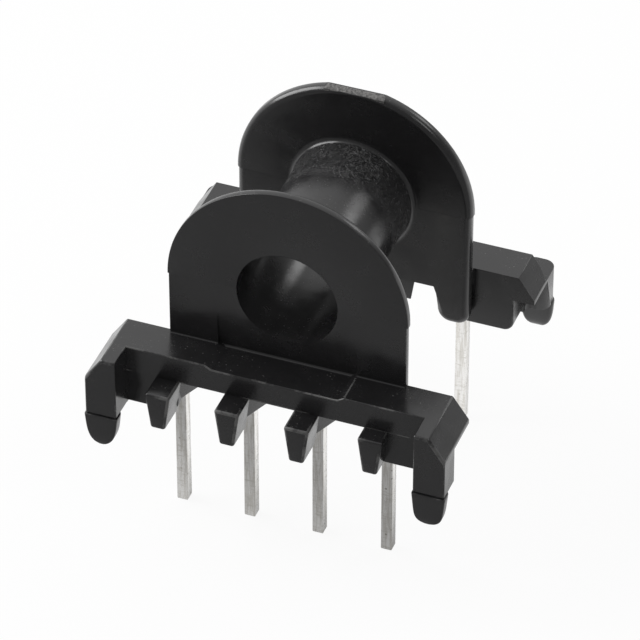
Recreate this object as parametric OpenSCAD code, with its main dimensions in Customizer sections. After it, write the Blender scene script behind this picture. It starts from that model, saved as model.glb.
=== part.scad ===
// Bobbin of a small pot-core transformer: one black moulding that carries the winding on a
// round tube between two D-shaped flanges, and eight square wire pins in two rows.
// The bore runs along Y, the pin rows along X, and the pin tips stand at Z = 0.

/* [Bore and tube] */
// Diameter of the bore that takes the core's centre post
bore_d = 3.6; // [3.2:0.05:3.8]
// Outside diameter of the tube that carries the winding
tube_d = 4.3; // [4.1:0.05:5]
// Radius of the fillet where the tube meets each flange
tube_fillet = 0.2; // [0.05:0.05:0.4]

/* [Flanges] */
// Diameter of the round upper half of the flanges
flange_d = 8.6; // [8.2:0.1:9.2]
// Thickness of each flange
flange_t = 0.42; // [0.3:0.02:0.6]
// Distance over the outer faces of the two flanges
flange_span = 6.72; // [6.5:0.02:7.1]
// Distance of the front flange's outer face from the middle between the pin rows
front_face = 3.55; // [3.45:0.01:3.65]
// Height of a flange's lower edge over the rail's underside
flange_low = 0.33; // [0.1:0.01:0.5]
// Step from the round half of a flange in to its straight sides
side_step = 0.05; // [0.02:0.01:0.15]
// Radius of the rounded edge that faces the winding
rim_round = 0.12; // [0.04:0.02:0.2]
// Width of the flat on the back flange where the moulding gate was broken off
gate_flat_w = 2.2; // [1:0.1:3]

/* [Rails] */
// Length of a rail over its ends
rail_len = 12.9; // [12.6:0.1:14]
// Depth of a rail from its inner face to its outer face
rail_depth = 1.45; // [1.2:0.05:2]
// Thickness of a rail
rail_t = 1.02; // [0.9:0.02:1.3]
// Height of the bore axis over the rail's top
axis_over_rail = 2.53; // [2.4:0.01:3]
// Distance between the inner faces of the two rails
rail_gap = 6.74; // [6.6:0.02:6.86]
// Run of the chamfer at each end of a rail
chamfer_x = 0.59; // [0.3:0.01:0.8]
// Fall of the chamfer at each end of a rail
chamfer_z = 0.84; // [0.5:0.01:0.88]

/* [Seat for the core] */
// Width of the shallow seat in the middle of a rail
seat_w = 5; // [4:0.1:6]
// Depth of the seat below the rail's top
seat_depth = 0.14; // [0.05:0.01:0.25]
// Run of the sloped ends of the seat
seat_ramp = 0.25; // [0.1:0.05:0.5]
// Height to which the seat runs out on the flange's face
seat_rise = 1.35; // [0.8:0.05:1.6]
// Depth of the seat in the flange's face, at the rail
seat_back = 0.14; // [0.05:0.01:0.2]

/* [Blocks under the rails] */
// Depth of the blocks and teeth below a rail
block_h = 1.38; // [1:0.02:1.8]
// Inner end of the end blocks, from the middle of the rail
block_in = 3.4; // [3.2:0.05:3.5]
// Outer end of the end blocks, from the middle of the rail
block_out = 5.7; // [5.3:0.05:6]
// Distance of the end blocks' face behind the rail's outer face
block_step = 0.05; // [0.02:0.01:0.15]
// Radius of the blocks' lower corners
block_round = 0.42; // [0.1:0.02:0.5]
// Depth of the flange's own lugs below its lower edge
lug_h = 1.38; // [1:0.02:1.6]
// Inner side of the flange's own lugs, from the middle of the rail
lug_in = 3.06; // [2.8:0.02:3.3]

/* [Teeth] */
// Reach of the teeth in front of a rail
tooth_reach = 0.88; // [0.6:0.02:1.1]
// Reach of the short tooth that marks the last pin of the front row
short_reach = 0.5; // [0.3:0.02:0.6]
// Depth of a tooth from its front face to its back
tooth_depth = 1; // [0.9:0.05:1.2]
// Width of a tooth at its top
tooth_top_w = 0.9; // [0.7:0.02:1.1]
// Width of a tooth at its tip
tooth_tip_w = 0.46; // [0.3:0.02:0.6]
// Distance of a tooth's middle from its pin, along the rail
tooth_offset = -0.1; // [-0.12:0.01:0.12]
// Depth of the ribs that hold the pins, below the rail
rib_h = 1; // [0.7:0.02:1.2]
// Width of a rib behind its tooth
rib_front_w = 0.62; // [0.5:0.02:0.8]
// Width of a rib at the rail's inner face
rib_back_w = 1.4; // [1:0.05:1.5]

/* [Legs and feet] */
// Width of a leg
leg_w = 1.12; // [0.9:0.02:1.4]
// Reach of the legs in front of a rail
leg_reach = 0.95; // [0.8:0.05:1.2]
// Distance of the back legs' tops below the rail's top
back_leg_drop = 0.9; // [0.85:0.01:1]
// Bevel round the front edge of the front legs' tops
leg_bevel = 0.13; // [0.05:0.01:0.2]
// Height of a foot
foot_h = 1.22; // [1:0.02:2]
// Width of a foot at its top
foot_w = 1.2; // [0.9:0.02:1.4]
// Width of a foot at its bottom
foot_tip_w = 0.86; // [0.6:0.02:1]
// Depth of a foot
foot_depth = 0.6; // [0.5:0.02:0.8]
// Distance by which a foot stands proud of its leg
foot_proud = 0.14; // [0.05:0.01:0.2]
// Radius of the foot's lower corners
foot_round = 0.4; // [0.1:0.02:0.44]

/* [Pins] */
// Distance between neighbouring pins in a row
pin_pitch = 2.5; // [2.5:0.02:2.54]
// Distance between the two rows of pins
row_gap = 7.5; // [7.4:0.02:7.7]
// Width of the square pin wire
pin_w = 0.4; // [0.3:0.02:0.5]
// Length of a pin below the feet
pin_free = 3.4; // [2.5:0.1:4.5]
// Material left over the top of a pin
pin_cover = 0.4; // [0.2:0.05:0.8]
// Bevel at a pin's tip
pin_bevel = 0.07; // [0.02:0.01:0.12]
// Clearance round a pin in its socket, none because the pins are moulded in
pin_clearance = 0; // [0:0.01:0.03]

/* [Hidden] */
$fn = 64;
pins_per_row = 4;
body_colour = [0.055, 0.055, 0.06];
tin_colour = [0.78, 0.77, 0.74];
overcut = 1;

bore_r = bore_d / 2;
tube_r = tube_d / 2;
flange_r = flange_d / 2;
side_x = flange_r - side_step;
back_face = flange_span - front_face;

block_z = pin_free + foot_h;
rail_z = block_z + block_h;
rail_top = rail_z + rail_t;
flange_z = rail_z + flange_low;
axis_z = rail_top + axis_over_rail;
pin_top = rail_top - pin_cover;

rail_in = rail_gap / 2;
rail_out = rail_in + rail_depth;
rail_x = rail_len / 2;
rail_top_x = rail_x - chamfer_x;
leg_x = rail_x - leg_w;
leg_out = rail_out + leg_reach;

first_pin_x = -pin_pitch * (pins_per_row - 1) / 2;
pin_row_y = row_gap / 2;

// An outline drawn in X and Z, run along Y from a near to a far distance.
module along_y(near, far) {
    translate([0, far, 0]) rotate([90, 0, 0]) linear_extrude(far - near) children();
}

// A rectangle with its two lower corners rounded.
module round_foot_outline(x0, x1, z0, z1, r) {
    translate([x0, z0 + r]) square([x1 - x0, z1 - z0 - r]);
    translate([x0 + r, z0]) square([x1 - x0 - 2 * r, z1 - z0]);
    for (x = [x0 + r, x1 - r]) translate([x, z0 + r]) circle(r);
}

// The square bar on edge that, laid on a corner along X, cuts a bevel of the given size.
module bevel_cutter(length, bevel) {
    rotate([90, 0, 90]) linear_extrude(length, center = true)
        polygon([[-bevel, 0], [0, -bevel], [bevel, 0], [0, bevel]]);
}

// One flange: the round half is turned about the bore axis and the lower half is a straight slab.
module flange(face) {
    inside = face - flange_t;
    module slab_edge(reach) {
        difference() {
            translate([0, inside]) square([reach, flange_t]);
            translate([reach - rim_round, inside]) difference() {
                square(rim_round);
                translate([0, rim_round]) circle(rim_round);
            }
        }
    }
    translate([0, 0, axis_z]) rotate([90, 0, 0]) rotate_extrude(angle = 180) slab_edge(flange_r);
    for (side = [0, 1])
        mirror([side, 0, 0]) translate([0, 0, flange_z]) mirror([0, 1, 0])
            linear_extrude(axis_z - flange_z) slab_edge(side_x);
}

// The tube between the flanges, with a fillet at each end.
module tube() {
    translate([0, 0, axis_z]) rotate([90, 0, 0]) rotate_extrude() {
        translate([0, -back_face]) square([tube_r, flange_span]);
        for (end = [0, 1])
            mirror([0, end]) translate([tube_r, [front_face, back_face][end] - flange_t - tube_fillet]) difference() {
                square(tube_fillet);
                translate([tube_fillet, 0]) circle(tube_fillet);
            }
    }
}

// The flat bar under a flange, chamfered at both ends.
module rail() {
    along_y(-rail_out, -rail_in) polygon([
        [-rail_x, rail_z],
        [rail_x, rail_z],
        [rail_x, rail_top - chamfer_z],
        [rail_top_x, rail_top],
        [-rail_top_x, rail_top],
        [-rail_x, rail_top - chamfer_z]
    ]);
}

// What joins a rail to its flange, where the flange stands clear of the rail.
module web(face) {
    along_y(-rail_in, -face + flange_t / 2) translate([-side_x, flange_z]) square([2 * side_x, rail_top - flange_z]);
}

// The shallow seat for the core: a trough in the rail that runs out up the flange's face.
module core_seat(face) {
    seat_floor = rail_top - seat_depth;
    half = seat_w / 2;
    slope = seat_ramp / seat_depth;
    along_y(-rail_out - overcut, -face) polygon([
        [-half + seat_ramp, seat_floor],
        [half - seat_ramp, seat_floor],
        [half + slope, rail_top + overcut],
        [-half - slope, rail_top + overcut]
    ]);
    translate([-half, 0, 0]) rotate([90, 0, 90]) linear_extrude(seat_w) polygon([
        [-face, seat_floor],
        [-face + seat_back, seat_floor],
        [-face, rail_top + seat_rise]
    ]);
}

// What hangs under one end of a rail: the end block and the lug of the flange beside it.
module end_blocks(face) {
    along_y(-rail_out + block_step, -rail_in) round_foot_outline(block_in, block_out, block_z, rail_z, block_round);
    along_y(-face, -face + flange_t) round_foot_outline(lug_in, side_x, flange_z - lug_h, flange_z, block_round);
}

// A tooth that keeps the wires apart, and the flared rib behind it that holds the pin.
module tooth(x, reach) {
    front = rail_out + reach;
    back = front - tooth_depth;
    translate([x, 0, 0]) {
        along_y(-front, -back) translate([tooth_offset, 0]) polygon([
            [-tooth_tip_w / 2, block_z],
            [tooth_tip_w / 2, block_z],
            [tooth_top_w / 2, rail_z],
            [-tooth_top_w / 2, rail_z]
        ]);
        translate([0, 0, rail_z - rib_h]) linear_extrude(rib_h) polygon([
            [-rib_front_w / 2, -back],
            [rib_front_w / 2, -back],
            [rib_back_w / 2, -rail_in],
            [-rib_back_w / 2, -rail_in]
        ]);
    }
}

// A foot: a tapered peg, flat in front and round behind, that stands on the board.
module foot() {
    middle = (leg_x + rail_x) / 2;
    front = leg_out + foot_proud;
    taper = (foot_w - foot_tip_w) / 2;
    side = sqrt(taper * taper + foot_h * foot_h);
    round_x = foot_tip_w / 2 - foot_round * (side - taper) / foot_h;
    round_z = pin_free + foot_round;
    touch_x = round_x + foot_round * foot_h / side;
    touch_z = round_z - foot_round * taper / side;
    module side_cut() {
        difference() {
            polygon([
                [round_x, pin_free - overcut],
                [foot_w, pin_free - overcut],
                [foot_w, touch_z],
                [touch_x, touch_z],
                [round_x, round_z]
            ]);
            translate([round_x, round_z]) circle(foot_round);
        }
    }
    translate([middle, 0, 0]) intersection() {
        along_y(-front, -front + foot_depth) difference() {
            polygon([
                [-foot_tip_w / 2, pin_free],
                [foot_tip_w / 2, pin_free],
                [foot_w / 2, block_z],
                [-foot_w / 2, block_z]
            ]);
            for (side = [0, 1]) mirror([side, 0]) side_cut();
        }
        translate([0, -front, pin_free]) linear_extrude(foot_h) difference() {
            translate([-foot_w / 2, 0]) square([foot_w, foot_depth]);
            for (side = [0, 1])
                mirror([side, 0]) translate([foot_w / 2 - foot_depth / 2, foot_depth / 2]) difference() {
                    square(foot_depth / 2);
                    circle(foot_depth / 2);
                }
        }
    }
}

// A front leg follows the rail's chamfer up to the rail's top, and its front edge is bevelled.
module front_leg() {
    chamfer_angle = atan2(chamfer_z, chamfer_x);
    chamfer_run = sqrt(chamfer_x * chamfer_x + chamfer_z * chamfer_z);
    difference() {
        along_y(-leg_out, -rail_out) polygon([
            [leg_x, block_z],
            [rail_x, block_z],
            [rail_x, rail_top - chamfer_z],
            [rail_top_x, rail_top],
            [leg_x, rail_top]
        ]);
        translate([rail_top_x, -leg_out, rail_top]) {
            translate([-leg_w / 2, 0, 0]) bevel_cutter(leg_w, leg_bevel);
            rotate([0, chamfer_angle, 0]) translate([chamfer_run / 2, 0, 0]) bevel_cutter(chamfer_run, leg_bevel);
        }
    }
    foot();
}

// A back leg stops lower, at the foot of the rail's chamfer.
module back_leg() {
    along_y(-leg_out, -rail_out) translate([leg_x, block_z]) square([leg_w, rail_top - back_leg_drop - block_z]);
    foot();
}

// Everything at one end of the bobbin: flange, rail, blocks, teeth and legs.
module one_side(face, last_reach) {
    flange(face);
    web(face);
    rail();
    for (i = [0 : pins_per_row - 1])
        tooth(first_pin_x + i * pin_pitch, i == pins_per_row - 1 ? last_reach : tooth_reach);
    for (side = [0, 1]) mirror([side, 0, 0]) {
        end_blocks(face);
        children();
    }
}

// The square hole that a pin fills, open below.
module pin_socket(x, y) {
    hole_w = pin_w + 2 * pin_clearance;
    translate([x - hole_w / 2, y - hole_w / 2, -overcut]) cube([hole_w, hole_w, pin_top + pin_clearance + overcut]);
}

// Places of the pins, front row first and then the back row, both from left to right.
function pin_x(index) = first_pin_x + (index % pins_per_row) * pin_pitch;
function pin_y(index) = index < pins_per_row ? -pin_row_y : pin_row_y;

module bobbin() {
    gate_flat_z = axis_z + sqrt(flange_r * flange_r - gate_flat_w * gate_flat_w / 4);
    color(body_colour) difference() {
        union() {
            one_side(front_face, short_reach) front_leg();
            mirror([0, 1, 0]) one_side(back_face, tooth_reach) back_leg();
            tube();
        }
        core_seat(front_face);
        mirror([0, 1, 0]) core_seat(back_face);
        translate([0, back_face + overcut, axis_z]) rotate([90, 0, 0]) cylinder(h = flange_span + 2 * overcut, r = bore_r);
        translate([-flange_r, 0, gate_flat_z]) cube([flange_d, back_face + overcut, overcut]);
        for (i = [0 : 2 * pins_per_row - 1]) pin_socket(pin_x(i), pin_y(i));
    }
}

// One pin: square wire, cut to length, with its tip bevelled on all four sides.
module pin(index) {
    color(tin_colour) translate([pin_x(index), pin_y(index), 0]) difference() {
        translate([-pin_w / 2, -pin_w / 2, 0]) cube([pin_w, pin_w, pin_top]);
        for (turn = [0 : 90 : 270]) rotate([0, 0, turn]) translate([0, pin_w / 2, 0]) bevel_cutter(2 * pin_w, pin_bevel);
    }
}

bobbin();
for (i = [0 : 2 * pins_per_row - 1])
    pin(i);
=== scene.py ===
import math

import bmesh
import bpy
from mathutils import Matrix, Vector, noise


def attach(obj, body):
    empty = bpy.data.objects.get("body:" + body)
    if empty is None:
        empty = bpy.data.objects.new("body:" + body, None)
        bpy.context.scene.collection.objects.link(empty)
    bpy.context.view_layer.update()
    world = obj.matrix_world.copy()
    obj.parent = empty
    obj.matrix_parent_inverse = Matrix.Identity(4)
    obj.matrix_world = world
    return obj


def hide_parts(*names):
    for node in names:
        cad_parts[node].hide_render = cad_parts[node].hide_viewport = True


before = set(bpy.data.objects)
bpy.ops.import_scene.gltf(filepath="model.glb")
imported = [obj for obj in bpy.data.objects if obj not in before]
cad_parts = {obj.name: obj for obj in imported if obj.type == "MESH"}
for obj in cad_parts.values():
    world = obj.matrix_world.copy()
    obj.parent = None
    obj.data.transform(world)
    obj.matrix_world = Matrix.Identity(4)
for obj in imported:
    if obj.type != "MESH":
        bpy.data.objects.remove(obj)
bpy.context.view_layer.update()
scene = bpy.context.scene
scene.view_settings.view_transform = "Standard"

# Tube: the thin-walled hub that carries the winding, open along Y for the core's centre post.
# It is moulded in one shot with all that is black here, and a small fillet runs round the root
# of each flange.
mm = 0.001
weld = 0.0005 * mm
axis_z = 9.55 * mm
bore_r = 1.8 * mm
tube_r = 2.15 * mm
root_r = 0.22 * mm
winding_front = -3.13 * mm
winding_back = 2.75 * mm
root_steps = 8
tube_steps = 128
# Levels kept on faces: pale edge lines that are partly scuffs and partly painted highlight, and torn
# plastic at the gate.
edge_wear_and_highlight = 0.5
ramp_wear_and_highlight = 0.65
gate_wear = 1.0


def new_shell():
    shell = bmesh.new()
    shell.faces.layers.float.new("worn_and_highlit")
    return shell


def draw_to(shell, vert, point):
    drawn = bmesh.ops.extrude_vert_indiv(shell, verts=[vert])["verts"][0]
    drawn.co = point
    return drawn


def swing(shell, vert, centre, axis, angle, steps):
    swung = bmesh.ops.spin(shell, geom=[vert], cent=centre, axis=axis, angle=angle, steps=steps)
    return swung["geom_last"][0]


def join_shell(shell):
    bmesh.ops.remove_doubles(shell, verts=shell.verts, dist=weld)
    bmesh.ops.recalc_face_normals(shell, faces=shell.faces)
    carrier = bpy.data.meshes.new("carrier")
    shell.to_mesh(carrier)
    shell.free()
    moulding.from_mesh(carrier)
    bpy.data.meshes.remove(carrier)


moulding = new_shell()
tube = new_shell()
wall_start = tube.verts.new((bore_r, winding_front, axis_z))
pen = draw_to(tube, wall_start, (tube_r + root_r, winding_front, axis_z))
root_centre = (tube_r + root_r, winding_front + root_r, axis_z)
pen = swing(tube, pen, root_centre, (0, 0, 1), -math.pi / 2, root_steps)
pen = draw_to(tube, pen, (tube_r, winding_back - root_r, axis_z))
root_centre = (tube_r + root_r, winding_back - root_r, axis_z)
pen = swing(tube, pen, root_centre, (0, 0, 1), -math.pi / 2, root_steps)
pen = draw_to(tube, pen, (bore_r, winding_back, axis_z))
tube.edges.new((pen, wall_start))
bmesh.ops.spin(
    tube,
    geom=tube.verts[:] + tube.edges[:],
    cent=(0, 0, axis_z),
    axis=(0, 1, 0),
    angle=2 * math.pi,
    steps=tube_steps,
    use_merge=True,
)
join_shell(tube)

# Flanges: two thin D-shaped cheeks that hold the winding in, round above and straight below.
# Their edge is rounded on the winding's side, a tiny step at axis height marks the mould's
# parting, and two lugs hang down beside the end blocks.
front_outer = -3.55 * mm
back_outer = 3.17 * mm
flange_r = 4.295 * mm
side_x = 4.25 * mm
flange_z = 6.33 * mm
lug_in = 2.98 * mm
lug_toe = 3.14 * mm
lug_z = 4.86 * mm
lug_round = 0.44 * mm
rim_round = 0.24 * mm
crisp = 0.035 * mm
seat_half = 2.5 * mm
seat_floor = 6.88 * mm
seat_top = 8.37 * mm
seat_cut = 0.14 * mm
gate_z = 13.707 * mm
half_turn_steps = 72
rim_steps = 8
crisp_steps = 2
lug_steps = 7
slack = 0.002 * mm
margin = 0.01 * mm
cut_slack = 0.0001 * mm
seat_side_least = 0.5 * mm
hub_clear = 2 * mm


def soften(shell, edges, width, steps, wear_and_highlight=edge_wear_and_highlight):
    rounded = bmesh.ops.bevel(
        shell,
        geom=edges,
        affect="EDGES",
        offset=width,
        offset_type="OFFSET",
        segments=steps,
        profile=0.5,
        material=-1,
        clamp_overlap=True,
    )
    worn_and_highlit = shell.faces.layers.float["worn_and_highlit"]
    for face in rounded["faces"]:
        face[worn_and_highlit] = wear_and_highlight


def round_corner(shell, verts, radius, steps):
    bmesh.ops.bevel(
        shell,
        geom=verts,
        affect="VERTICES",
        offset=radius,
        segments=steps,
        profile=0.5,
        material=-1,
    )


def close_holes(shell):
    bmesh.ops.holes_fill(shell, edges=[edge for edge in shell.edges if edge.is_boundary], sides=0)


def near(value, target):
    return abs(value - target) < slack


def all_at(item, axis, value):
    return all(near(getattr(vert.co, axis), value) for vert in item.verts)


def all_of(shell):
    return shell.verts[:] + shell.edges[:] + shell.faces[:]


def cut_across(shell, geom, point, normal, drop_above=False):
    bmesh.ops.bisect_plane(
        shell,
        geom=geom,
        dist=cut_slack,
        plane_co=point,
        plane_no=normal,
        clear_outer=drop_above,
    )


def grow(shell, faces, run):
    grown = bmesh.ops.extrude_face_region(shell, geom=faces)["geom"]
    moved = [g for g in grown if isinstance(g, bmesh.types.BMVert)]
    bmesh.ops.translate(shell, verts=moved, vec=run)


def find_seat_face(slab, outer_y):
    found = []
    for face in slab.faces:
        low = max(v.co.z for v in face.verts) < seat_top + margin
        inside = max(abs(v.co.x) for v in face.verts) < seat_half + margin
        if all_at(face, "y", outer_y) and low and inside:
            found.append(face)
    return found[-1]


for outer_y, inner_y in ((front_outer, winding_front), (back_outer, winding_back)):
    # The round half is turned about the bore from its cross-section.
    cheek = new_shell()
    mouth = cheek.verts.new((bore_r, outer_y, axis_z))
    rim_out = cheek.verts.new((flange_r, outer_y, axis_z))
    rim_in = cheek.verts.new((flange_r, inner_y, axis_z))
    hub = cheek.verts.new((bore_r, inner_y, axis_z))
    cheek.faces.new((mouth, rim_out, rim_in, hub))
    round_corner(cheek, [mouth, rim_out], crisp, crisp_steps)
    winding_corner = [v for v in cheek.verts if near(v.co.x, flange_r) and near(v.co.y, inner_y)]
    round_corner(cheek, winding_corner, rim_round, rim_steps)
    bmesh.ops.delete(cheek, geom=cheek.faces[:], context="FACES_ONLY")
    bmesh.ops.spin(
        cheek,
        geom=cheek.verts[:] + cheek.edges[:],
        cent=(0, 0, axis_z),
        axis=(0, -1, 0),
        angle=math.pi,
        steps=half_turn_steps,
    )
    close_holes(cheek)
    if outer_y > 0:
        cut_across(cheek, all_of(cheek), (0, 0, gate_z), (0, 0, 1), drop_above=True)
        close_holes(cheek)
    join_shell(cheek)

    # The straight half is drawn as an outline, cut where the core's seat runs up, and thickened.
    slab = new_shell()
    pen = slab.verts.new((bore_r, inner_y, axis_z))
    for x, z in (
        (side_x, axis_z),
        (side_x, lug_z),
        (lug_toe, lug_z),
        (lug_in, flange_z),
        (-lug_in, flange_z),
        (-lug_toe, lug_z),
        (-side_x, lug_z),
        (-side_x, axis_z),
        (-bore_r, axis_z),
    ):
        pen = draw_to(slab, pen, (x, inner_y, z))
    swing(slab, pen, (0, inner_y, axis_z), (0, -1, 0), math.pi, half_turn_steps)
    bmesh.ops.remove_doubles(slab, verts=slab.verts, dist=weld)
    bmesh.ops.contextual_create(slab, geom=slab.edges[:])
    round_corner(slab, [v for v in slab.verts if near(v.co.z, lug_z)], lug_round, lug_steps)
    for cut_x in (seat_half, -seat_half):
        cut_across(slab, all_of(slab), (cut_x, 0, 0), (1, 0, 0))
    middle = [f for f in slab.faces if abs(f.calc_center_median().x) < seat_half]
    around_middle = [e for f in middle for e in f.edges] + [v for f in middle for v in f.verts]
    cut_across(slab, middle + around_middle, (0, 0, seat_top), (0, 0, 1))
    grow(slab, slab.faces[:], (0, outer_y - inner_y, 0))
    under = [f for f in slab.faces if all_at(f, "z", flange_z)]
    bmesh.ops.delete(slab, geom=under, context="FACES_ONLY")
    seat_face = find_seat_face(slab, outer_y)
    seat_sides = [e for e in seat_face.edges if all(near(abs(v.co.x), seat_half) for v in e.verts)]
    bmesh.ops.split_edges(slab, edges=seat_sides)
    seat_face = find_seat_face(slab, outer_y)
    slope = seat_cut / (seat_top - seat_floor) * (1 if outer_y < 0 else -1)
    for vert in seat_face.verts:
        vert.co.y += slope * (seat_top - vert.co.z)
    for side in (seat_half, -seat_half):
        gap = [e for e in slab.edges if e.is_boundary and all_at(e, "x", side)]
        gap = [e for e in gap if abs(e.verts[0].co.z - e.verts[1].co.z) > seat_side_least]
        corners = {v for e in gap for v in e.verts}
        slab.faces.new(sorted(corners, key=lambda v: (v.co.z, v.co.y)))
    close_holes(slab)
    bmesh.ops.recalc_face_normals(slab, faces=slab.faces)
    winding_rim = []
    outer_rim = []
    for edge in slab.edges:
        first, second = edge.verts
        middle_point = (first.co + second.co) / 2
        on_axis_line = all_at(edge, "z", axis_z)
        past_lug = abs(middle_point.x) > lug_in - margin
        from_bore = math.hypot(middle_point.x, middle_point.z - axis_z)
        if on_axis_line or not edge.is_manifold or edge.calc_face_angle() < math.radians(40):
            continue
        if all_at(edge, "z", flange_z):
            continue
        if all_at(edge, "y", inner_y) and from_bore > hub_clear:
            winding_rim.append(edge)
        if all_at(edge, "y", outer_y) and past_lug:
            outer_rim.append(edge)
    soften(slab, winding_rim, rim_round, rim_steps, 0.0)
    soften(slab, [edge for edge in outer_rim if edge.is_valid], crisp, crisp_steps)
    join_shell(slab)

# Rails and legs: the bars under the flanges, chamfered at both ends, with a shallow seat for the
# core in the middle. A leg stands out from each end; the front pair follows the chamfer up to the
# rail's top and the back pair stops at its foot.
rail_x = 6.45 * mm
rail_top_x = 5.86 * mm
rail_z = 6.0 * mm
rail_top = 7.02 * mm
chamfer_z = 6.18 * mm
rail_in = 3.37 * mm
rail_out = 4.82 * mm
seat_flat = 2.25 * mm
leg_in = 5.33 * mm
leg_out = 5.84 * mm
leg_z = 4.62 * mm
back_leg_top = 6.12 * mm
post_round = {"front": 0.08 * mm, "back": 0.42 * mm}
post_wear_and_highlight = {"front": 0.3, "back": 0.0}
post_steps = 8
brow_round = 0.1 * mm
brow_steps = 4
ramp_round = 0.035 * mm
rail_round = 0.045 * mm
edge_steps = 3


def prism(points, run):
    shell = new_shell()
    shell.faces.new([shell.verts.new(point) for point in points])
    grow(shell, shell.faces[:], run)
    bmesh.ops.recalc_face_normals(shell, faces=shell.faces)
    return shell


def pull(shell, faces, run):
    grow(shell, faces, run)
    bmesh.ops.delete(shell, geom=[f for f in faces if f.is_valid], context="FACES_ONLY")


def outer_corners(shell, least=35):
    convex = [e for e in shell.edges if e.is_manifold and e.is_convex]
    return [e for e in convex if e.calc_face_angle() > math.radians(least)]


for rail_place in ("front", "back"):
    rail = prism(
        [
            (x, -rail_out, z)
            for x, z in (
                (-rail_x, rail_z),
                (rail_x, rail_z),
                (rail_x, chamfer_z),
                (rail_top_x, rail_top),
                (seat_half, rail_top),
                (seat_flat, seat_floor),
                (-seat_flat, seat_floor),
                (-seat_half, rail_top),
                (-rail_top_x, rail_top),
                (-rail_x, chamfer_z),
            )
        ],
        (0, rail_out - rail_in, 0),
    )
    cuts = [((leg_in, 0, 0), (1, 0, 0)), ((-leg_in, 0, 0), (1, 0, 0))]
    if rail_place == "back":
        cuts.append(((0, 0, back_leg_top), (0, 0, 1)))
    for cut_point, cut_normal in cuts:
        cut_across(rail, all_of(rail), cut_point, cut_normal)
    leg_roots = []
    for face in rail.faces:
        centre = face.calc_center_median()
        if near(centre.y, -rail_out) and abs(centre.x) > leg_in:
            if rail_place == "front" or centre.z < back_leg_top:
                leg_roots.append(face)
    pull(rail, leg_roots, (0, rail_out - leg_out, 0))
    leg_undersides = []
    for face in rail.faces:
        centre = face.calc_center_median()
        if near(centre.z, rail_z) and centre.y < -rail_out and abs(face.normal.z) > 0.9:
            leg_undersides.append(face)
    pull(rail, leg_undersides, (0, 0, leg_z - rail_z))
    bmesh.ops.recalc_face_normals(rail, faces=rail.faces)
    bmesh.ops.dissolve_limit(rail, angle_limit=math.radians(1), verts=rail.verts[:], edges=rail.edges[:])
    uprights = []
    for edge in rail.edges:
        first, second = edge.verts
        upright = near(first.co.x, second.co.x) and near(first.co.y, second.co.y)
        if upright and abs(first.co.x) > leg_in - margin:
            uprights.append(edge)
    if rail_place == "front":
        brows = []
        for edge in outer_corners(rail, 40):
            lowest = min(v.co.z for v in edge.verts)
            if all_at(edge, "y", -leg_out) and lowest > chamfer_z - margin:
                brows.append(edge)
        soften(rail, brows, brow_round, brow_steps)
    posts = [e for e in uprights if e.is_valid and e.is_convex and near(e.verts[0].co.y, -leg_out)]
    if rail_place == "back":
        rail_ends = [e for e in uprights if near(abs(e.verts[0].co.x), rail_x)]
        posts += [e for e in rail_ends if near(e.verts[0].co.y, -rail_out)]
    soften(rail, posts, post_round[rail_place], post_steps, post_wear_and_highlight[rail_place])
    ramp_tops = []
    for edge in rail.edges:
        first, second = edge.verts
        along_ramp = near(first.co.x, seat_half) and near(first.co.x, second.co.x)
        if along_ramp and near(first.co.z, rail_top):
            ramp_tops.append(edge)
    soften(rail, ramp_tops, ramp_round, crisp_steps, ramp_wear_and_highlight)
    plain_edges = []
    for edge in outer_corners(rail):
        hidden = all_at(edge, "y", -rail_in) and all_at(edge, "z", rail_z)
        if not hidden:
            plain_edges.append(edge)
    soften(rail, plain_edges, rail_round, edge_steps)
    if rail_place == "back":
        bmesh.ops.scale(rail, verts=rail.verts[:], vec=(1, -1, 1))
    join_shell(rail)

# Web: the short bridge of the same plastic that joins the back rail to its flange.
# The flange stands clear of the rail there, and the core's seat runs on across the web.
web_front = 2.95 * mm
web_deep = 0.5 * mm
web_half = side_x - crisp
web_z = 6.335 * mm
web_top = 7.012 * mm
web_seat = 6.872 * mm
web = prism(
    [
        (x, web_front, z)
        for x, z in (
            (-web_half, web_z),
            (web_half, web_z),
            (web_half, web_top),
            (seat_half, web_top),
            (seat_flat, web_seat),
            (-seat_flat, web_seat),
            (-seat_half, web_top),
            (-web_half, web_top),
        )
    ],
    (0, web_deep, 0),
)
join_shell(web)

# End blocks: the four stout blocks that stiffen the rail ends under the flange's corners.
# Their face stands a hair behind the rail's, which leaves a fine dark line. A thin bridge fills
# the slot between block and leg, and a cove rounds the corner outside.
block_in = 3.5 * mm
block_out = 5.7 * mm
block_front = 4.75 * mm
block_back = 3.374 * mm
side_root = 0.18 * mm
inset = 0.004 * mm
block_round = 0.38 * mm
block_steps = 8
block_edge = 0.06 * mm
block_sunk = 0.1 * mm
bridge_proud = 0.02 * mm
bridge_sunk = 0.05 * mm
bridge_deep = 0.3 * mm
cove_sink = 0.03 * mm
cove_lift = 0.02 * mm
cove_h = rail_z - leg_z + 0.03 * mm
cove_steps = 6


def cove(corner, wall, level, radius, run):
    strip = new_shell()
    on_wall = strip.verts.new(corner + wall * radius)
    middle_of_arc = corner + (wall + level) * radius
    pen = swing(strip, on_wall, middle_of_arc, level.cross(wall), math.pi / 2, cove_steps)
    pen = draw_to(strip, pen, corner + level * radius - wall * cove_sink)
    pen = draw_to(strip, pen, corner - (wall + level) * cove_sink)
    pen = draw_to(strip, pen, corner + wall * radius - level * cove_sink)
    strip.edges.new((pen, on_wall))
    bmesh.ops.contextual_create(strip, geom=strip.edges[:])
    grow(strip, strip.faces[:], run)
    bmesh.ops.recalc_face_normals(strip, faces=strip.faces)
    return strip


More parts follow.
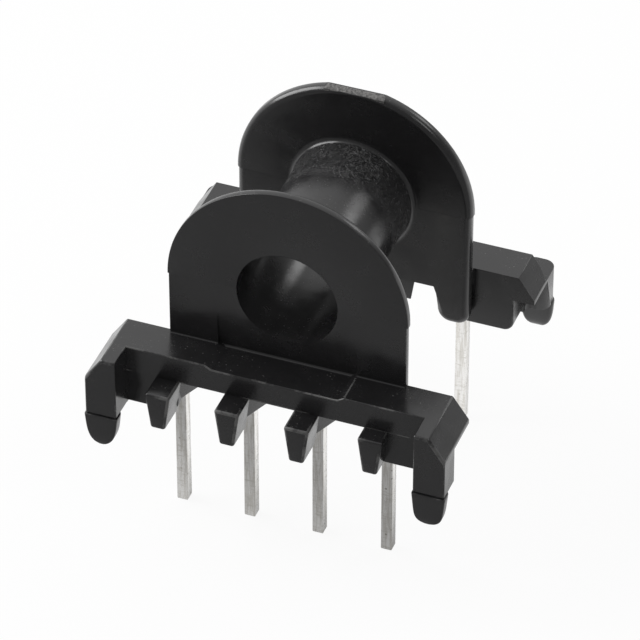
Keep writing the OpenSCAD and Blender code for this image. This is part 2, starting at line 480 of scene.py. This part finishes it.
for side in (1, -1):
    for row in (1, -1):
        block = prism(
            [
                (x, -block_front, z)
                for x, z in (
                    (block_in, leg_z),
                    (block_out, leg_z),
                    (block_out, rail_z + block_sunk),
                    (block_in, rail_z + block_sunk),
                )
            ],
            (0, block_front - block_back, 0),
        )
        lower = [e for e in block.edges if all_at(e, "z", leg_z)]
        lower = [e for e in lower if near(e.verts[0].co.x, e.verts[1].co.x)]
        soften(block, lower, block_round, block_steps, 0.0)
        soften(block, outer_corners(block), block_edge, edge_steps)
        bridge = prism(
            [
                (x, -rail_out - bridge_proud, z)
                for x, z in (
                    (leg_in + inset, leg_z + inset),
                    (block_out - inset, leg_z + inset),
                    (block_out - inset, rail_z + bridge_sunk),
                    (leg_in + inset, rail_z + bridge_sunk),
                )
            ],
            (0, bridge_deep, 0),
        )
        corner = Vector((block_out, -rail_out, leg_z + cove_lift))
        cove_run = Vector((0, 0, cove_h))
        outer_cove = cove(corner, Vector((1, 0, 0)), Vector((0, 1, 0)), side_root, cove_run)
        for shell in (block, bridge, outer_cove):
            bmesh.ops.scale(shell, verts=shell.verts[:], vec=(side, row, 1))
            join_shell(shell)

# Teeth and ribs: a tapered tooth stands out beside each pin and keeps the wire ends apart.
# A flared rib behind it holds the pin. The last tooth of the front row is short in the photograph.
tooth_offset = -0.1 * mm
tooth_tip = 0.26 * mm
tooth_top = 0.45 * mm
tooth_sunk = 0.12 * mm
tooth_z = 4.58 * mm
tooth_round = 0.09 * mm
tooth_steps = 4
full_reach = 0.96 * mm
short_reach = 0.64 * mm
rib_z = 5.0 * mm
rib_in = 3.38 * mm
rib_front = 0.22 * mm
rib_draft = 0.17 * mm
rib_overlap = 0.07 * mm
rib_back = 0.7 * mm
rib_round = 0.04 * mm
pin_places = (-3.75 * mm, -1.25 * mm, 1.25 * mm, 3.75 * mm)
for row in (1, -1):
    for pin_x in pin_places:
        reach = full_reach
        if row == 1 and pin_x == pin_places[3]:
            reach = short_reach
        front_y = -rail_out - reach
        tooth = prism(
            [
                (pin_x + tooth_offset + x, front_y, z)
                for x, z in (
                    (-tooth_tip, tooth_z),
                    (tooth_tip, tooth_z),
                    (tooth_top, rail_z),
                    (-tooth_top, rail_z),
                )
            ],
            (0, reach + tooth_sunk, 0),
        )
        tooth_back = front_y + reach + tooth_sunk
        shown = [e for e in outer_corners(tooth) if not all_at(e, "y", tooth_back)]
        soften(tooth, shown, tooth_round, tooth_steps)
        rib_start = tooth_back - rib_overlap
        rib = prism(
            [
                (pin_x + tooth_offset - rib_front, rib_start, rib_z),
                (pin_x + tooth_offset + rib_front, rib_start, rib_z),
                (pin_x + rib_back, -rib_in, rib_z),
                (pin_x - rib_back, -rib_in, rib_z),
            ],
            (0, 0, rail_z + block_sunk - rib_z),
        )
        for vert in rib.verts:
            if vert.co.z > rail_z:
                vert.co.x += rib_draft if vert.co.x > pin_x else -rib_draft
        soften(rib, outer_corners(rib), rib_round, crisp_steps)
        for shell in (tooth, rib):
            bmesh.ops.scale(shell, verts=shell.verts[:], vec=(1, row, 1))
            join_shell(shell)

# Feet: tapered pegs moulded under the legs that stand on the board, each with a blunt round toe.
# They stand a little proud of the legs, which leaves a fine ledge, and the back pair is rounder.
foot_x = 5.89 * mm
foot_z = 3.4 * mm
foot_half = 0.6 * mm
foot_front = 5.91 * mm
foot_deep = 0.6 * mm
heel_round = {1: 0.24 * mm, -1: 0.17 * mm}
front_round = {1: 0.08 * mm, -1: 0.42 * mm}
foot_pivot = {1: 0.42, -1: 0.0}
foot_steps = 6
toe_steps = 12
toe_power = {(1, 1): 9.0, (-1, 1): 4.5, (1, -1): 4.5, (-1, -1): 4.5}
toe_taper = {1: 0.2, -1: 0.12}
toe_least = 0.03
toe_deep_power = 5
ledge_round = 0.03 * mm
for side in (1, -1):
    for row in (1, -1):
        foot = new_shell()
        bmesh.ops.create_grid(foot, x_segments=1, y_segments=1, size=0.5)
        bmesh.ops.translate(foot, verts=foot.verts[:], vec=(0, foot_pivot[row], 0))
        bmesh.ops.scale(foot, verts=foot.verts[:], vec=(2 * foot_half, foot_deep, 1))
        front_face = (foot_pivot[row] - 0.5) * foot_deep
        heel = [v for v in foot.verts if near(v.co.y, front_face + foot_deep)]
        round_corner(foot, heel, heel_round[row], foot_steps)
        front = [v for v in foot.verts if near(v.co.y, front_face)]
        round_corner(foot, front, front_round[row], foot_steps)
        sole = foot.faces[:]
        wide_now = 1.0
        deep_now = 1.0
        for step in range(1, toe_steps + 1):
            fall = math.sin(math.pi / 2 * step / toe_steps)
            wide = math.sqrt(max(toe_least, 1 - fall ** toe_power[(side, row)]))
            wide *= 1 - toe_taper[row] * fall
            deep = math.sqrt(max(toe_least, 1 - fall ** toe_deep_power))
            grown = bmesh.ops.extrude_face_region(foot, geom=sole)
            if step > 1:
                bmesh.ops.delete(foot, geom=[f for f in sole if f.is_valid], context="FACES_ONLY")
            lowered = [g for g in grown["geom"] if isinstance(g, bmesh.types.BMVert)]
            sole = [g for g in grown["geom"] if isinstance(g, bmesh.types.BMFace)]
            bmesh.ops.scale(foot, verts=lowered, vec=(wide / wide_now, deep / deep_now, 1))
            for vert in lowered:
                vert.co.z = -fall * (leg_z - foot_z)
            wide_now = wide
            deep_now = deep
        bmesh.ops.recalc_face_normals(foot, faces=foot.faces)
        ledge = [e for e in foot.edges if all_at(e, "z", 0)]
        soften(foot, ledge, ledge_round, crisp_steps)
        bmesh.ops.translate(foot, verts=foot.verts[:], vec=(foot_x, -foot_front - front_face, leg_z))
        bmesh.ops.scale(foot, verts=foot.verts[:], vec=(side, row, 1))
        join_shell(foot)

# Coves: the small inner rounds where the flanges stand on the rails and in the core's seats.
# They are part of the same moulding and catch a thin line of light.
foot_cove = 0.05 * mm
seat_cove = 0.1 * mm
up = Vector((0, 0, 1))
for flange_y, outward, ledge_z, floor_z in (
    (front_outer, -1, rail_top, seat_floor),
    (back_outer, 1, web_top, web_seat),
):
    out_from_flange = Vector((0, outward, 0))
    for start_x in (-web_half, seat_half):
        corner = Vector((start_x, flange_y, ledge_z))
        cove_run = Vector((web_half - seat_half, 0, 0))
        join_shell(cove(corner, up, out_from_flange, foot_cove, cove_run))
    cove_half = (seat_flat + seat_half) / 2
    corner = Vector((-cove_half, flange_y - outward * seat_cut, floor_z))
    cove_run = Vector((2 * cove_half, 0, 0))
    join_shell(cove(corner, up, out_from_flange, seat_cove, cove_run))

# Gate scar: where the plastic ran in, the sprue was torn off the flat on top of the back flange.
# It leaves a low, rough, pale patch, and a fine raised line runs along the mould's parting below.
scar_half = 1.08 * mm
scar_y = 2.955 * mm
scar_depth = 0.34 * mm
scar_height = 0.025
scar_sink = 0.006 * mm
scar_base = 0.1 * mm
side_fade = 0.1 * mm
end_fade = 0.05 * mm
tear_size = 0.11 * mm
ridge_x = 0.07 * mm
ridge_y = 0.1 * mm
scar = new_shell()
bmesh.ops.create_grid(scar, x_segments=72, y_segments=12, size=0.5)
bmesh.ops.scale(scar, verts=scar.verts[:], vec=(2 * scar_half, scar_depth, 1))
bmesh.ops.translate(scar, verts=scar.verts[:], vec=(0, scar_y, gate_z))
for vert in scar.verts:
    tear = noise.fractal(vert.co / tear_size, 0.8, 2.0, 4)
    ridge = noise.noise(Vector((vert.co.x / ridge_x + vert.co.y / ridge_y, 0.0, 3.0)))
    side_fall = (scar_half - abs(vert.co.x)) / side_fade
    end_fall = (scar_depth / 2 - abs(vert.co.y - scar_y)) / end_fade
    edge_fall = min(1.0, side_fall, end_fall)
    rise = scar_height + scar_height * tear + scar_height * ridge
    vert.co.z += rise * mm * edge_fall - scar_sink
scar_worn = scar.faces.layers.float["worn_and_highlit"]
for face in scar.faces:
    face[scar_worn] = gate_wear
grown = bmesh.ops.extrude_face_region(scar, geom=scar.faces[:])
for vert in [g for g in grown["geom"] if isinstance(g, bmesh.types.BMVert)]:
    vert.co.z = gate_z - scar_base
join_shell(scar)
line_half = 0.022 * mm
line_proud = 0.01 * mm
for start_x in (-side_x + rim_round, tube_r + root_r):
    ridge_line = prism(
        [
            (start_x, winding_back + line_proud, axis_z - line_half),
            (start_x, winding_back - line_proud, axis_z),
            (start_x, winding_back + line_proud, axis_z + line_half),
        ],
        (side_x - rim_round - tube_r - root_r, 0, 0),
    )
    join_shell(ridge_line)

# Finish of the moulding: satin black plastic straight from the mould, its grade not known.
# Fine grain all over, pale edge lines that are partly scuffs and partly painted highlight, a little
# dust on top, a drag-marked band on the tube by the back flange with pale specks of painted glint,
# and bare torn plastic at the gate.
smooth_below = math.radians(38)
moulding_mesh = bpy.data.meshes.new("moulding")
for face in moulding.faces:
    face.smooth = True
moulding.to_mesh(moulding_mesh)
moulding.free()
moulding_mesh.set_sharp_from_angle(angle=smooth_below)
moulded = bpy.data.objects.new("moulding", moulding_mesh)
scene.collection.objects.link(moulded)
even_shine = moulded.modifiers.new("even_shine", "WEIGHTED_NORMAL")
even_shine.keep_sharp = True


def add_node(tree, kind, values=None, **settings):
    node = tree.nodes.new(kind)
    for name, value in settings.items():
        setattr(node, name, value)
    for socket, value in (values or {}).items():
        node.inputs[socket].default_value = value
    return node


def remap(tree, source, low, high, to_low=0.0, to_high=1.0):
    node = add_node(tree, "ShaderNodeMapRange", interpolation_type="SMOOTHSTEP")
    node.inputs["From Min"].default_value = low
    node.inputs["From Max"].default_value = high
    node.inputs["To Min"].default_value = to_low
    node.inputs["To Max"].default_value = to_high
    tree.links.new(source, node.inputs["Value"])
    return node.outputs["Result"]


def combine(tree, operation, first, second):
    node = add_node(tree, "ShaderNodeMath", operation=operation)
    tree.links.new(first, node.inputs[0])
    if isinstance(second, float):
        node.inputs[1].default_value = second
    else:
        tree.links.new(second, node.inputs[1])
    return node.outputs[0]


def times(tree, first, second):
    return combine(tree, "MULTIPLY", first, second)


def larger(tree, first, second):
    return combine(tree, "MAXIMUM", first, second)


def tint(tree, mask, base, colour):
    node = add_node(tree, "ShaderNodeMix", data_type="RGBA")
    tree.links.new(mask, node.inputs["Factor"])
    under, over = [socket for socket in node.inputs if socket.type == "RGBA"]
    if isinstance(base, tuple):
        under.default_value = base
    else:
        tree.links.new(base, under)
    over.default_value = colour
    return [socket for socket in node.outputs if socket.type == "RGBA"][0]


surface_grain = bpy.data.node_groups.new("surface_grain", "ShaderNodeTree")
for socket_name, socket_type in (
    ("Place", "NodeSocketVector"),
    ("Grain per mm", "NodeSocketFloat"),
    ("Patches per mm", "NodeSocketFloat"),
):
    surface_grain.interface.new_socket(socket_name, in_out="INPUT", socket_type=socket_type)
for socket_name in ("Grain", "Patches"):
    surface_grain.interface.new_socket(socket_name, in_out="OUTPUT", socket_type="NodeSocketFloat")
grain_in = add_node(surface_grain, "NodeGroupInput")
grain_out = add_node(surface_grain, "NodeGroupOutput")
for scale_name, result_name, detail in (
    ("Grain per mm", "Grain", 3.0),
    ("Patches per mm", "Patches", 5.0),
):
    cloud = add_node(surface_grain, "ShaderNodeTexNoise", {"Detail": detail, "Roughness": 0.6})
    surface_grain.links.new(grain_in.outputs["Place"], cloud.inputs["Vector"])
    surface_grain.links.new(grain_in.outputs[scale_name], cloud.inputs["Scale"])
    surface_grain.links.new(cloud.outputs["Fac"], grain_out.inputs[result_name])

black = bpy.data.materials.new("black_moulding")
black.use_nodes = True
tree = black.node_tree
shade = tree.nodes["Principled BSDF"]
shade.inputs["IOR"].default_value = 1.6
skin_place = add_node(tree, "ShaderNodeTexCoord")
in_mm = add_node(tree, "ShaderNodeMapping", {"Scale": (1000.0, 1000.0, 1000.0)})
tree.links.new(skin_place.outputs["Object"], in_mm.inputs["Vector"])
skin = add_node(tree, "ShaderNodeGroup", node_tree=surface_grain)
skin.inputs["Grain per mm"].default_value = 13.0
skin.inputs["Patches per mm"].default_value = 1.1
tree.links.new(in_mm.outputs["Vector"], skin.inputs["Place"])
grain = skin.outputs["Grain"]
patches = skin.outputs["Patches"]

# Pale lines follow the rounded edges, in patches, and are partly scuffs and partly painted highlight;
# the torn gate is pale all over.
wear_and_highlight_read = add_node(tree, "ShaderNodeAttribute", attribute_type="GEOMETRY", attribute_name="worn_and_highlit")
wear_and_highlight = wear_and_highlight_read.outputs["Fac"]
on_edges = remap(tree, wear_and_highlight, 0.0, edge_wear_and_highlight)
patchy_scuff_and_highlight = times(tree, on_edges, remap(tree, patches, 0.44, 0.62))
on_ramps = remap(tree, wear_and_highlight, edge_wear_and_highlight, ramp_wear_and_highlight)
ramp_scuff_and_highlight = times(tree, on_ramps, remap(tree, grain, 0.4, 0.62))
scuff_and_highlight = larger(tree, patchy_scuff_and_highlight, ramp_scuff_and_highlight)
torn = remap(tree, wear_and_highlight, ramp_wear_and_highlight, gate_wear)

# Dust lies as small specks on what faces up, thicker in some places than others.
speck = add_node(tree, "ShaderNodeTexVoronoi", {"Scale": 8.0})
tree.links.new(in_mm.outputs["Vector"], speck.inputs["Vector"])
speck_pick = add_node(tree, "ShaderNodeSeparateColor")
tree.links.new(speck.outputs["Color"], speck_pick.inputs["Color"])
facing = add_node(tree, "ShaderNodeSeparateXYZ")
tree.links.new(skin_place.outputs["Normal"], facing.inputs["Vector"])
round_dots = remap(tree, speck.outputs["Distance"], 0.06, 0.22, 1.0, 0.0)
dots = times(tree, round_dots, speck_pick.outputs["Red"])
dust = times(tree, dots, remap(tree, facing.outputs["Z"], 0.3, 0.9))
dust = times(tree, dust, remap(tree, patches, 0.4, 0.58))

# The drag marks sit on the outside of the tube and fade out towards the middle.
in_parts = add_node(tree, "ShaderNodeSeparateXYZ")
tree.links.new(in_mm.outputs["Vector"], in_parts.inputs["Vector"])
from_axis = add_node(tree, "ShaderNodeMapping", {"Scale": (1.0, 0.0, 1.0)})
from_axis.inputs["Location"].default_value = (0.0, 0.0, -axis_z / mm)
tree.links.new(in_mm.outputs["Vector"], from_axis.inputs["Vector"])
radius = add_node(tree, "ShaderNodeVectorMath", operation="LENGTH")
tree.links.new(from_axis.outputs["Vector"], radius.inputs[0])
outside = remap(tree, radius.outputs["Value"], 2.0, 2.1)
on_tube = times(tree, outside, remap(tree, radius.outputs["Value"], 2.155, 2.18, 1.0, 0.0))
past_middle = remap(tree, in_parts.outputs["Y"], 0.6, 1.7)
before_flange = remap(tree, in_parts.outputs["Y"], 2.6, 2.7, 1.0, 0.0)
by_flange = times(tree, past_middle, before_flange)
dragged = times(tree, on_tube, by_flange)
pits = add_node(tree, "ShaderNodeTexNoise", {"Scale": 5.0, "Detail": 4.0, "Roughness": 0.7})
pits.inputs["Distortion"].default_value = 1.5
tree.links.new(in_mm.outputs["Vector"], pits.inputs["Vector"])
pitted = times(tree, dragged, remap(tree, pits.outputs["Fac"], 0.4, 0.6))
drag_height = times(tree, pitted, 26.0)

skin_tone = tint(tree, patches, (0.011, 0.0107, 0.0112, 1.0), (0.018, 0.0176, 0.0184, 1.0))
# The pale edge colour is partly scuffs and partly painted highlight.
scuff_and_highlight_tone = tint(tree, scuff_and_highlight, skin_tone, (0.09, 0.089, 0.088, 1.0))
dusty_tone = tint(tree, dust, scuff_and_highlight_tone, (0.17, 0.168, 0.165, 1.0))
# Pale specks on the drag-marked band are painted glints.
painted_glints = times(tree, dragged, remap(tree, pits.outputs["Fac"], 0.57, 0.66))
painted_glint_tone = tint(tree, painted_glints, dusty_tone, (0.1, 0.1, 0.1, 1.0))
torn_mask = times(tree, torn, remap(tree, grain, 0.3, 0.7, 0.15, 1.0))
moulded_tone = tint(tree, torn_mask, painted_glint_tone, (0.16, 0.155, 0.15, 1.0))
tree.links.new(moulded_tone, shade.inputs["Base Color"])
skin_rough = remap(tree, patches, 0.35, 0.65, 0.18, 0.28)
rough_spots = larger(tree, times(tree, scuff_and_highlight, 0.45), times(tree, torn, 0.55))
tree.links.new(larger(tree, skin_rough, rough_spots), shade.inputs["Roughness"])
height = combine(tree, "ADD", grain, drag_height)
relief = add_node(tree, "ShaderNodeBump", {"Strength": 1.0, "Distance": 0.0016 * mm})
tree.links.new(height, relief.inputs["Height"])
tree.links.new(relief.outputs["Normal"], shade.inputs["Normal"])
moulding_mesh.materials.append(black)
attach(moulded, "root")
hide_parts("bobbin")

# Pins: eight lengths of square wire with a tin-like finish, held in the ribs moulded round them.
# Each is cut off below with a small bevelled tip and keeps the streaks of its drawing die.
pin_half = 0.2 * mm
pin_top = 6.62 * mm
pin_row = 3.75 * mm
tip_bevel = 0.07 * mm
wire_round = 0.03 * mm
tin = bpy.data.materials.new("tinned_wire")
tin.use_nodes = True
tree = tin.node_tree
shade = tree.nodes["Principled BSDF"]
shade.inputs["Metallic"].default_value = 1.0
wire_place = add_node(tree, "ShaderNodeTexCoord")
drawn_out = add_node(tree, "ShaderNodeMapping", {"Scale": (12000.0, 12000.0, 1100.0)})
tree.links.new(wire_place.outputs["Object"], drawn_out.inputs["Vector"])
streaks = add_node(tree, "ShaderNodeGroup", node_tree=surface_grain)
streaks.inputs["Grain per mm"].default_value = 1.0
streaks.inputs["Patches per mm"].default_value = 0.35
tree.links.new(drawn_out.outputs["Vector"], streaks.inputs["Place"])
in_mm = add_node(tree, "ShaderNodeMapping", {"Scale": (1000.0, 1000.0, 1000.0)})
tree.links.new(wire_place.outputs["Object"], in_mm.inputs["Vector"])
chatter = add_node(tree, "ShaderNodeMapping", {"Scale": (2500.0, 2500.0, 9000.0)})
tree.links.new(wire_place.outputs["Object"], chatter.inputs["Vector"])
rungs = add_node(tree, "ShaderNodeTexNoise", {"Scale": 1.0, "Detail": 3.0, "Roughness": 0.6})
tree.links.new(chatter.outputs["Vector"], rungs.inputs["Vector"])
fleck = add_node(tree, "ShaderNodeTexVoronoi", {"Scale": 4.0})
tree.links.new(in_mm.outputs["Vector"], fleck.inputs["Vector"])
fleck_pick = add_node(tree, "ShaderNodeSeparateColor")
tree.links.new(fleck.outputs["Color"], fleck_pick.inputs["Color"])
flecks = times(
    tree,
    remap(tree, fleck.outputs["Distance"], 0.08, 0.2, 1.0, 0.0),
    remap(tree, fleck_pick.outputs["Red"], 0.5, 0.9),
)
dull_streaks = remap(tree, streaks.outputs["Grain"], 0.62, 0.36)
bright_tin = tint(tree, dull_streaks, (0.94, 0.93, 0.91, 1.0), (0.72, 0.7, 0.66, 1.0))
bands = times(tree, remap(tree, rungs.outputs["Fac"], 0.5, 0.72), 0.55)
banded_tin = tint(tree, bands, bright_tin, (0.58, 0.56, 0.51, 1.0))
flecked_tin = tint(tree, flecks, banded_tin, (0.36, 0.34, 0.3, 1.0))
tree.links.new(flecked_tin, shade.inputs["Base Color"])
wire_rough = remap(tree, streaks.outputs["Patches"], 0.3, 0.7, 0.2, 0.38)
tree.links.new(wire_rough, shade.inputs["Roughness"])
relief = add_node(tree, "ShaderNodeBump", {"Strength": 1.0, "Distance": 0.002 * mm})
tree.links.new(streaks.outputs["Grain"], relief.inputs["Height"])
tree.links.new(relief.outputs["Normal"], shade.inputs["Normal"])
number = 0
for row_y in (-pin_row, pin_row):
    for pin_x in pin_places:
        number += 1
        wire = prism(
            [
                (pin_x - pin_half, row_y - pin_half, pin_top),
                (pin_x + pin_half, row_y - pin_half, pin_top),
                (pin_x + pin_half, row_y + pin_half, pin_top),
                (pin_x - pin_half, row_y + pin_half, pin_top),
            ],
            (0, 0, -pin_top),
        )
        cut_end = [e for e in wire.edges if all_at(e, "z", 0)]
        soften(wire, cut_end, tip_bevel, crisp_steps)
        corners = outer_corners(wire, 60)
        long_edges = [e for e in corners if abs(e.verts[0].co.z - e.verts[1].co.z) > mm]
        soften(wire, long_edges, wire_round, edge_steps)
        for face in wire.faces:
            face.smooth = True
        pin_mesh = bpy.data.meshes.new("wire_%d" % number)
        wire.to_mesh(pin_mesh)
        wire.free()
        pin_mesh.set_sharp_from_angle(angle=smooth_below)
        pin_mesh.materials.append(tin)
        pin = bpy.data.objects.new("wire_%d" % number, pin_mesh)
        scene.collection.objects.link(pin)
        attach(pin, "root")
        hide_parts("pin_%d" % number)

# Bench: a plain white paper sweep that the part stands on, white to the camera, with a soft shadow.
# In reflections its glow is painted darker towards the camera, a painted shade that keeps the part's
# front faces dark.
paper = bpy.data.meshes.new("paper")
sheet = bmesh.new()
bmesh.ops.create_grid(sheet, x_segments=1, y_segments=1, size=0.6)
sheet.to_mesh(paper)
sheet.free()
floor = bpy.data.objects.new("floor", paper)
scene.collection.objects.link(floor)
paper_white = bpy.data.materials.new("paper_white")
paper_white.use_nodes = True
tree = paper_white.node_tree
tree.nodes.clear()
paper_out = add_node(tree, "ShaderNodeOutputMaterial")
paper_seen = add_node(tree, "ShaderNodeEmission", {"Color": (1.0, 1.0, 1.0, 1.0)})
paper_lit = add_node(tree, "ShaderNodeBsdfDiffuse", {"Color": (0.9, 0.9, 0.9, 1.0)})
paper_path = add_node(tree, "ShaderNodeLightPath")
paper_place = add_node(tree, "ShaderNodeTexCoord")
towards_back = add_node(tree, "ShaderNodeVectorMath", {1: (-0.2, 1.0, 0.0)}, operation="DOT_PRODUCT")
tree.links.new(paper_place.outputs["Object"], towards_back.inputs[0])
# Painted shade: the glow seen in reflections falls off towards the camera.
painted_floor_shade = remap(tree, towards_back.outputs["Value"], -0.006, 0.0, 0.3, 1.0)
seen_by_camera = paper_path.outputs["Is Camera Ray"]
tree.links.new(larger(tree, painted_floor_shade, seen_by_camera), paper_seen.inputs["Strength"])
camera_or_glossy = larger(tree, seen_by_camera, paper_path.outputs["Is Glossy Ray"])
or_through = larger(tree, camera_or_glossy, paper_path.outputs["Is Transmission Ray"])
paper_mix = add_node(tree, "ShaderNodeMixShader")
tree.links.new(times(tree, or_through, 0.92), paper_mix.inputs["Fac"])
tree.links.new(paper_lit.outputs[0], paper_mix.inputs[1])
tree.links.new(paper_seen.outputs[0], paper_mix.inputs[2])
tree.links.new(paper_mix.outputs[0], paper_out.inputs["Surface"])
paper.materials.append(paper_white)

# Camera: a long lens from the front right, looking down on the rail and along the bore.
# It stands far off, so that the part's parallel edges stay nearly parallel.
camera_data = bpy.data.cameras.new("camera")
camera_data.sensor_width = 36.0
camera_data.lens = 280.3
camera_data.clip_start = 0.01
camera_data.clip_end = 10.0
camera = bpy.data.objects.new("camera", camera_data)
camera.location = (0.04693, -0.12473, 0.11259)
camera_aim = Vector((0.0000312, -0.0004968, 0.0064490))
camera.rotation_euler = (camera_aim - camera.location).to_track_quat("-Z", "Y").to_euler()
scene.collection.objects.link(camera)
scene.camera = camera

# Lights: bright paper all round behind the part and a darker room on the camera's side.
# A soft box stands on the left, a weak one on the right, and a small one behind on the right lays
# the streak on the tube.
world = bpy.data.worlds.new("studio")
world.use_nodes = True
tree = world.node_tree
sky = tree.nodes["Background"]
sky.inputs["Color"].default_value = (1.0, 1.0, 1.0, 1.0)
sky_way = add_node(tree, "ShaderNodeTexCoord")
sky_rise = add_node(tree, "ShaderNodeVectorMath", {1: (-0.45, 0.7, 0.6)}, operation="DOT_PRODUCT")
tree.links.new(sky_way.outputs["Generated"], sky_rise.inputs[0])
sky_fall = add_node(tree, "ShaderNodeMapRange", {"From Min": 0.1, "From Max": 0.9, "To Min": 0.25})
sky_fall.inputs["To Max"].default_value = 1.0
tree.links.new(sky_rise.outputs["Value"], sky_fall.inputs["Value"])
sky_path = add_node(tree, "ShaderNodeLightPath")
sky_seen = larger(tree, sky_fall.outputs["Result"], sky_path.outputs["Is Camera Ray"])
tree.links.new(sky_seen, sky.inputs["Strength"])
scene.world = world
lights_aim = Vector((0.0, 0.0, 0.007))
soft_boxes = (
    ("left_soft_box", (-0.315, -0.02, 0.185), 0.26, 1.1),
    ("right_soft_box", (0.25, -0.05, 0.28), 0.1, 0.09),
    ("streak_box", (0.229, 0.366, 0.254), 0.13, 0.13),
)
for box_name, spot, width, power in soft_boxes:
    lamp = bpy.data.lights.new(box_name, "AREA")
    lamp.shape = "SQUARE"
    lamp.size = width
    lamp.energy = power
    light = bpy.data.objects.new(box_name, lamp)
    light.location = spot
    light.rotation_euler = (lights_aim - Vector(spot)).to_track_quat("-Z", "Y").to_euler()
    scene.collection.objects.link(light)
